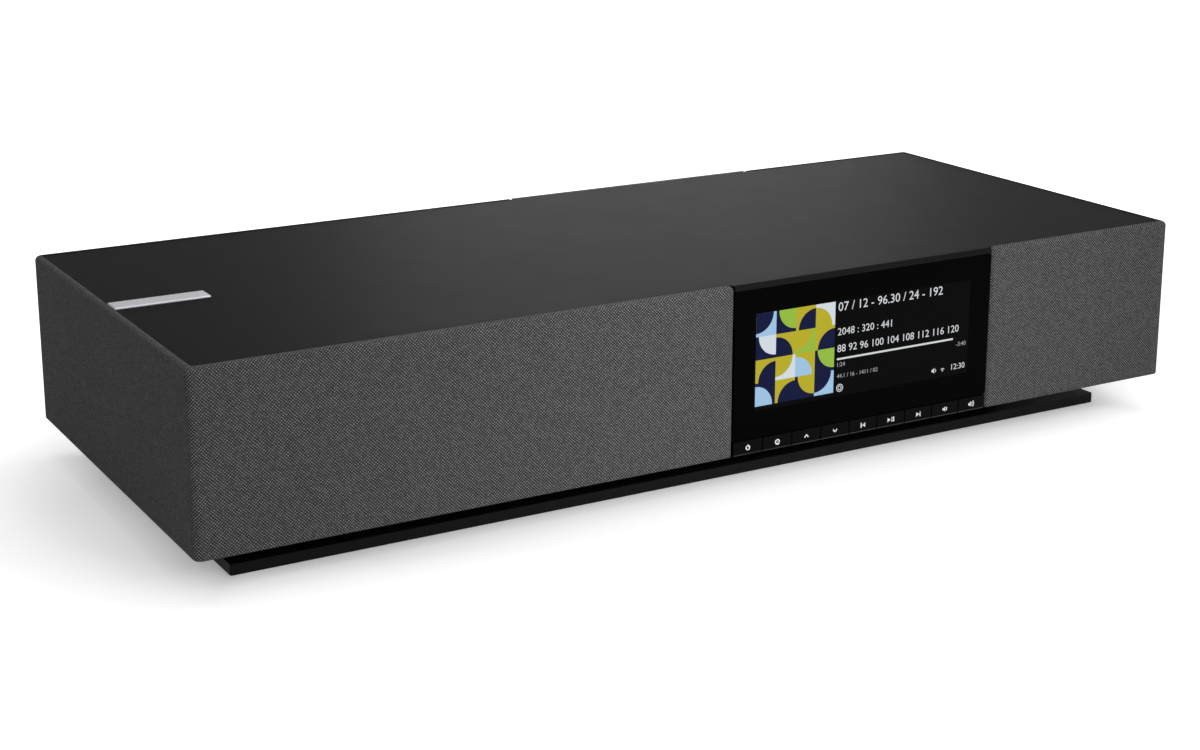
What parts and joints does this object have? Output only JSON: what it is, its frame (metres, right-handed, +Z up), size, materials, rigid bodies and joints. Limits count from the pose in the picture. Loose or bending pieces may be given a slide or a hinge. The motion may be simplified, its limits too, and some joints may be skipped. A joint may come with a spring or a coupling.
{
  "type": "wireless speaker",
  "caption": "Low, wide tabletop speaker: cloth-wrapped cabinet with hidden drivers, an off-centre screen over a row of buttons, a let-in top panel and a slim base plate.",
  "frame": {"origin": "middle of the footprint, on the surface that the feet stand on", "axes": "+X to the right along the width, +Y to the rear, +Z up; the display faces -Y"},
  "size_m": [0.681, 0.284, 0.1318],
  "materials": {
    "satin_black_top": "satin black lacquer",
    "silver_plate": "satin anodised",
    "acoustic_cloth": "charcoal diagonal weave",
    "moulded_black": "fine moulded texture",
    "display_glass": "black-backed gloss glass",
    "screen": "screen module",
    "painted_plate": "satin black paint",
    "foot_rubber": "matt",
    "black_aluminium": "black anodised",
    "circuit_board": "solder mask",
    "shield_metal": "tinned",
    "socket_plastic": "moulded",
    "basket_metal": "powder coat",
    "magnet_steel": "ground",
    "surround_rubber": "matt",
    "cone_paper": "pressed fibre",
    "dome_silk": "coated silk",
    "button_black": "gloss black",
    "screw_steel": "black zinc"
  },
  "bodies": {
    "root": {"amplifier_board": "circuit_board", "badge_plate": "silver_plate", "base_plate": "painted_plate", "base_screws": "screw_steel", "button_board": "circuit_board", "cabinet_shell": "moulded_black", "display_carrier": "moulded_black", "display_glass": "display_glass", "display_screen": "screen", "hdmi_socket": "shield_metal", "heat_sink": "black_aluminium", "key_switches": "socket_plastic", "left_grille_cloth": "acoustic_cloth", "left_grille_frame": "moulded_black", "line_input_jack": "socket_plastic", "main_board": "circuit_board", "mains_inlet": "socket_plastic", "midrange_baskets": "basket_metal", "midrange_magnets": "magnet_steel", "midrange_surrounds": "surround_rubber", "network_socket": "shield_metal", "optical_socket": "socket_plastic", "plinth_riser": "painted_plate", "power_supply_board": "circuit_board", "rear_panel": "moulded_black", "rear_panel_screws": "screw_steel", "right_grille_cloth": "acoustic_cloth", "right_grille_frame": "moulded_black", "rubber_feet": "foot_rubber", "top_panel": "satin_black_top", "tweeter_faceplates": "basket_metal", "tweeter_magnets": "magnet_steel", "usb_socket": "shield_metal", "wireless_module": "shield_metal", "woofer_baskets": "basket_metal", "woofer_magnets": "magnet_steel", "woofer_surrounds": "surround_rubber"},
    "power_button": {"power_button": "button_black"},
    "source_button": {"source_button": "button_black"},
    "up_button": {"up_button": "button_black"},
    "down_button": {"down_button": "button_black"},
    "previous_button": {"previous_button": "button_black"},
    "play_button": {"play_button": "button_black"},
    "next_button": {"next_button": "button_black"},
    "volume_down_button": {"volume_down_button": "button_black"},
    "volume_up_button": {"volume_up_button": "button_black"},
    "midrange_cone_left": {"midrange_cone_left": "cone_paper"},
    "midrange_cone_right": {"midrange_cone_right": "cone_paper"},
    "tweeter_dome_left": {"tweeter_dome_left": "dome_silk"},
    "tweeter_dome_right": {"tweeter_dome_right": "dome_silk"},
    "woofer_cone_inner_left": {"woofer_cone_inner_left": "cone_paper"},
    "woofer_cone_outer_left": {"woofer_cone_outer_left": "cone_paper"},
    "woofer_cone_right": {"woofer_cone_right": "cone_paper"}
  },
  "joints": [
    {"name": "power_button_press", "type": "slide", "parent": "root", "child": "power_button", "axis": [0, 1, 0], "range_m": [0, 0.0006], "stiffness_N_per_m": 600, "springref_m": -0.0005},
    {"name": "source_button_press", "type": "slide", "parent": "root", "child": "source_button", "axis": [0, 1, 0], "range_m": [0, 0.0006], "stiffness_N_per_m": 600, "springref_m": -0.0005},
    {"name": "up_button_press", "type": "slide", "parent": "root", "child": "up_button", "axis": [0, 1, 0], "range_m": [0, 0.0006], "stiffness_N_per_m": 600, "springref_m": -0.0005},
    {"name": "down_button_press", "type": "slide", "parent": "root", "child": "down_button", "axis": [0, 1, 0], "range_m": [0, 0.0006], "stiffness_N_per_m": 600, "springref_m": -0.0005},
    {"name": "previous_button_press", "type": "slide", "parent": "root", "child": "previous_button", "axis": [0, 1, 0], "range_m": [0, 0.0006], "stiffness_N_per_m": 600, "springref_m": -0.0005},
    {"name": "play_button_press", "type": "slide", "parent": "root", "child": "play_button", "axis": [0, 1, 0], "range_m": [0, 0.0006], "stiffness_N_per_m": 600, "springref_m": -0.0005},
    {"name": "next_button_press", "type": "slide", "parent": "root", "child": "next_button", "axis": [0, 1, 0], "range_m": [0, 0.0006], "stiffness_N_per_m": 600, "springref_m": -0.0005},
    {"name": "volume_down_button_press", "type": "slide", "parent": "root", "child": "volume_down_button", "axis": [0, 1, 0], "range_m": [0, 0.0006], "stiffness_N_per_m": 600, "springref_m": -0.0005},
    {"name": "volume_up_button_press", "type": "slide", "parent": "root", "child": "volume_up_button", "axis": [0, 1, 0], "range_m": [0, 0.0006], "stiffness_N_per_m": 600, "springref_m": -0.0005},
    {"name": "midrange_cone_left_stroke", "type": "slide", "parent": "root", "child": "midrange_cone_left", "axis": [0, -1, 0], "range_m": [-0.0015, 0.0015], "stiffness_N_per_m": 1500},
    {"name": "midrange_cone_right_stroke", "type": "slide", "parent": "root", "child": "midrange_cone_right", "axis": [0, -1, 0], "range_m": [-0.0015, 0.0015], "stiffness_N_per_m": 1500},
    {"name": "tweeter_dome_left_stroke", "type": "slide", "parent": "root", "child": "tweeter_dome_left", "axis": [0, -1, 0], "range_m": [-0.0004, 0.0004], "stiffness_N_per_m": 1500},
    {"name": "tweeter_dome_right_stroke", "type": "slide", "parent": "root", "child": "tweeter_dome_right", "axis": [0, -1, 0], "range_m": [-0.0004, 0.0004], "stiffness_N_per_m": 1500},
    {"name": "woofer_cone_inner_left_stroke", "type": "slide", "parent": "root", "child": "woofer_cone_inner_left", "axis": [0, -1, 0], "range_m": [-0.003, 0.003], "stiffness_N_per_m": 1500},
    {"name": "woofer_cone_outer_left_stroke", "type": "slide", "parent": "root", "child": "woofer_cone_outer_left", "axis": [0, -1, 0], "range_m": [-0.003, 0.003], "stiffness_N_per_m": 1500},
    {"name": "woofer_cone_right_stroke", "type": "slide", "parent": "root", "child": "woofer_cone_right", "axis": [0, -1, 0], "range_m": [-0.003, 0.003], "stiffness_N_per_m": 1500}
  ]
}
